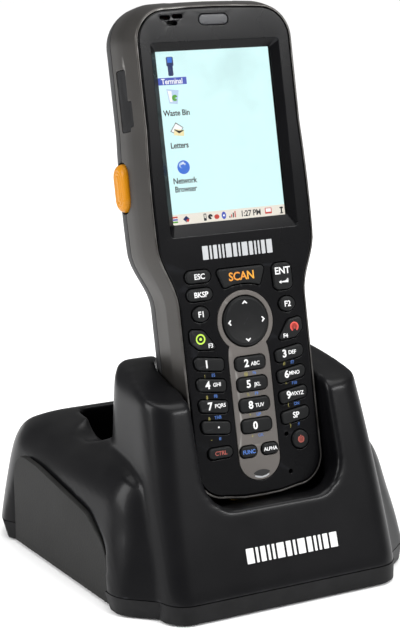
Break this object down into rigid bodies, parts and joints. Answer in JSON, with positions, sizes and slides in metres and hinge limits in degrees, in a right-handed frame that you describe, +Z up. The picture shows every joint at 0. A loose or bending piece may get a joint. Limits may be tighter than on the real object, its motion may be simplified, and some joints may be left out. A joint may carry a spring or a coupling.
{
  "type": "handheld data terminal in a charging cradle",
  "caption": "Handheld data terminal with colour touch display and numeric keypad, standing tilted back in a desktop charging cradle with a spare battery well.",
  "frame": {"origin": "on the ground, under the middle of the cradle's base", "axes": "+Z up, +X to the right when facing the display, +Y towards the back of the cradle"},
  "size_m": [0.129, 0.1184, 0.1939],
  "materials": {
    "cradle_plastic": "satin moulded, fine grain",
    "base_plastic": "satin moulded, fine grain",
    "panel_plastic": "matt, fine texture",
    "circuit_board": "solder mask",
    "connector_plastic": "moulded",
    "contact_gold": "gold plated",
    "port_metal": "stamped shell",
    "face_plastic": "semi-gloss black",
    "silver_paint": "warm grey metallic paint",
    "dark_shell": "dark grey, fine grain",
    "latch_plastic": "ribbed",
    "inlay_paint": "satin grey metallic",
    "light_window": "translucent grey",
    "smoked_window": "dark red filter",
    "touch_glass": "anti-glare touch panel",
    "screen": "lit colour display",
    "mat_rubber": "silicone",
    "engine_metal": "cast housing",
    "battery_film": "wrapped cells",
    "orange_plastic": "embossed rings",
    "door_rubber": "matt",
    "nav_rubber": "satin dish",
    "foot_rubber": "matt",
    "key_rubber": "satin with printed legends",
    "power_key_rubber": "satin with a red power mark"
  },
  "bodies": {
    "cradle": {"cradle_housing": "cradle_plastic", "base_plate": "base_plastic", "left_side_panel": "panel_plastic", "right_side_panel": "panel_plastic", "cradle_board": "circuit_board", "dock_connector": "connector_plastic", "battery_well_contacts": "contact_gold", "foot_front_left": "foot_rubber", "foot_front_right": "foot_rubber", "foot_rear_left": "foot_rubber", "foot_rear_right": "foot_rubber", "power_jack": "connector_plastic", "usb_port": "port_metal"},
    "handheld": {"front_housing": "face_plastic", "mid_frame": "silver_paint", "rear_cover": "dark_shell", "center_inlay": "inlay_paint", "led_window": "light_window", "scan_window": "smoked_window", "touch_lens": "touch_glass", "display_module": "screen", "keypad_mat": "mat_rubber", "keypad_board": "circuit_board", "main_board": "circuit_board", "speaker": "port_metal", "scan_engine": "engine_metal", "battery_pack": "battery_film", "io_connector": "port_metal"},
    "dock_contacts": {"dock_contacts": "contact_gold"},
    "side_door": {"side_door": "door_rubber"},
    "scan_button_left": {"scan_button_left": "orange_plastic"},
    "scan_button_right": {"scan_button_right": "orange_plastic"},
    "nav_pivot": {"nav_pivot": "mat_rubber"},
    "nav_pad": {"nav_pad": "nav_rubber"},
    "battery_door": {"battery_door": "dark_shell"},
    "battery_latch": {"battery_latch": "latch_plastic"},
    "key_esc": {"key_esc": "key_rubber"},
    "key_backspace": {"key_backspace": "key_rubber"},
    "key_scan": {"key_scan": "key_rubber"},
    "key_enter": {"key_enter": "key_rubber"},
    "key_f1": {"key_f1": "key_rubber"},
    "key_f2": {"key_f2": "key_rubber"},
    "key_call": {"key_call": "key_rubber"},
    "key_hang_up": {"key_hang_up": "key_rubber"},
    "key_1": {"key_1": "key_rubber"},
    "key_2": {"key_2": "key_rubber"},
    "key_3": {"key_3": "key_rubber"},
    "key_4": {"key_4": "key_rubber"},
    "key_5": {"key_5": "key_rubber"},
    "key_6": {"key_6": "key_rubber"},
    "key_7": {"key_7": "key_rubber"},
    "key_8": {"key_8": "key_rubber"},
    "key_9": {"key_9": "key_rubber"},
    "key_point": {"key_point": "key_rubber"},
    "key_0": {"key_0": "key_rubber"},
    "key_space": {"key_space": "key_rubber"},
    "key_control": {"key_control": "key_rubber"},
    "key_function": {"key_function": "key_rubber"},
    "key_alpha": {"key_alpha": "key_rubber"},
    "key_power": {"key_power": "power_key_rubber"}
  },
  "joints": [
    {"name": "lift_out", "type": "slide", "parent": "cradle", "child": "handheld", "axis": [0, 0.2351, 0.972], "range_m": [0, 0.09]},
    {"name": "side_door_hinge", "type": "hinge", "parent": "handheld", "child": "side_door", "pos_m": [-0.03145, 0.00602, 0.16151], "axis": [0, -0.2351, -0.972], "range_deg": [0, 100]},
    {"name": "scan_button_left_press", "type": "slide", "parent": "handheld", "child": "scan_button_left", "axis": [1, 0, 0], "range_m": [0, 0.0008], "stiffness_N_per_m": 500},
    {"name": "scan_button_right_press", "type": "slide", "parent": "handheld", "child": "scan_button_right", "axis": [-1, 0, 0], "range_m": [0, 0.0008], "stiffness_N_per_m": 500},
    {"name": "nav_up_down", "type": "hinge", "parent": "handheld", "child": "nav_pivot", "pos_m": [0, -0.02421, 0.08971], "axis": [1, 0, 0], "range_deg": [-3, 3], "stiffness_Nm_per_rad": 0.2},
    {"name": "nav_left_right", "type": "hinge", "parent": "nav_pivot", "child": "nav_pad", "pos_m": [0, -0.02421, 0.08971], "axis": [0, 0.2351, 0.972], "range_deg": [-3, 3], "stiffness_Nm_per_rad": 0.2},
    {"name": "battery_door_off", "type": "slide", "parent": "handheld", "child": "battery_door", "axis": [0, 0.972, -0.2351], "range_m": [0, 0.02]},
    {"name": "battery_latch_slide", "type": "slide", "parent": "handheld", "child": "battery_latch", "axis": [0, 0.2351, 0.972], "range_m": [0, 0.003], "stiffness_N_per_m": 200},
    {"name": "dock_contacts_press", "type": "slide", "parent": "cradle", "child": "dock_contacts", "axis": [0, -0.2351, -0.972], "range_m": [0, 0.001], "stiffness_N_per_m": 200},
    {"name": "key_esc_press", "type": "slide", "parent": "handheld", "child": "key_esc", "axis": [0, 0.972, -0.2351], "range_m": [0, 0.0008], "stiffness_N_per_m": 300},
    {"name": "key_backspace_press", "type": "slide", "parent": "handheld", "child": "key_backspace", "axis": [0, 0.972, -0.2351], "range_m": [0, 0.0008], "stiffness_N_per_m": 300},
    {"name": "key_scan_press", "type": "slide", "parent": "handheld", "child": "key_scan", "axis": [0, 0.972, -0.2351], "range_m": [0, 0.0008], "stiffness_N_per_m": 300},
    {"name": "key_enter_press", "type": "slide", "parent": "handheld", "child": "key_enter", "axis": [0, 0.972, -0.2351], "range_m": [0, 0.0008], "stiffness_N_per_m": 300},
    {"name": "key_f1_press", "type": "slide", "parent": "handheld", "child": "key_f1", "axis": [0, 0.972, -0.2351], "range_m": [0, 0.0008], "stiffness_N_per_m": 300},
    {"name": "key_f2_press", "type": "slide", "parent": "handheld", "child": "key_f2", "axis": [0, 0.972, -0.2351], "range_m": [0, 0.0008], "stiffness_N_per_m": 300},
    {"name": "key_call_press", "type": "slide", "parent": "handheld", "child": "key_call", "axis": [0, 0.972, -0.2351], "range_m": [0, 0.0008], "stiffness_N_per_m": 300},
    {"name": "key_hang_up_press", "type": "slide", "parent": "handheld", "child": "key_hang_up", "axis": [0, 0.972, -0.2351], "range_m": [0, 0.0008], "stiffness_N_per_m": 300},
    {"name": "key_1_press", "type": "slide", "parent": "handheld", "child": "key_1", "axis": [0, 0.972, -0.2351], "range_m": [0, 0.0008], "stiffness_N_per_m": 300},
    {"name": "key_2_press", "type": "slide", "parent": "handheld", "child": "key_2", "axis": [0, 0.972, -0.2351], "range_m": [0, 0.0008], "stiffness_N_per_m": 300},
    {"name": "key_3_press", "type": "slide", "parent": "handheld", "child": "key_3", "axis": [0, 0.972, -0.2351], "range_m": [0, 0.0008], "stiffness_N_per_m": 300},
    {"name": "key_4_press", "type": "slide", "parent": "handheld", "child": "key_4", "axis": [0, 0.972, -0.2351], "range_m": [0, 0.0008], "stiffness_N_per_m": 300},
    {"name": "key_5_press", "type": "slide", "parent": "handheld", "child": "key_5", "axis": [0, 0.972, -0.2351], "range_m": [0, 0.0008], "stiffness_N_per_m": 300},
    {"name": "key_6_press", "type": "slide", "parent": "handheld", "child": "key_6", "axis": [0, 0.972, -0.2351], "range_m": [0, 0.0008], "stiffness_N_per_m": 300},
    {"name": "key_7_press", "type": "slide", "parent": "handheld", "child": "key_7", "axis": [0, 0.972, -0.2351], "range_m": [0, 0.0008], "stiffness_N_per_m": 300},
    {"name": "key_8_press", "type": "slide", "parent": "handheld", "child": "key_8", "axis": [0, 0.972, -0.2351], "range_m": [0, 0.0008], "stiffness_N_per_m": 300},
    {"name": "key_9_press", "type": "slide", "parent": "handheld", "child": "key_9", "axis": [0, 0.972, -0.2351], "range_m": [0, 0.0008], "stiffness_N_per_m": 300},
    {"name": "key_point_press", "type": "slide", "parent": "handheld", "child": "key_point", "axis": [0, 0.972, -0.2351], "range_m": [0, 0.0008], "stiffness_N_per_m": 300},
    {"name": "key_0_press", "type": "slide", "parent": "handheld", "child": "key_0", "axis": [0, 0.972, -0.2351], "range_m": [0, 0.0008], "stiffness_N_per_m": 300},
    {"name": "key_space_press", "type": "slide", "parent": "handheld", "child": "key_space", "axis": [0, 0.972, -0.2351], "range_m": [0, 0.0008], "stiffness_N_per_m": 300},
    {"name": "key_control_press", "type": "slide", "parent": "handheld", "child": "key_control", "axis": [0, 0.972, -0.2351], "range_m": [0, 0.0008], "stiffness_N_per_m": 300},
    {"name": "key_function_press", "type": "slide", "parent": "handheld", "child": "key_function", "axis": [0, 0.972, -0.2351], "range_m": [0, 0.0008], "stiffness_N_per_m": 300},
    {"name": "key_alpha_press", "type": "slide", "parent": "handheld", "child": "key_alpha", "axis": [0, 0.972, -0.2351], "range_m": [0, 0.0008], "stiffness_N_per_m": 300},
    {"name": "key_power_press", "type": "slide", "parent": "handheld", "child": "key_power", "axis": [0, 0.972, -0.2351], "range_m": [0, 0.0008], "stiffness_N_per_m": 300}
  ]
}
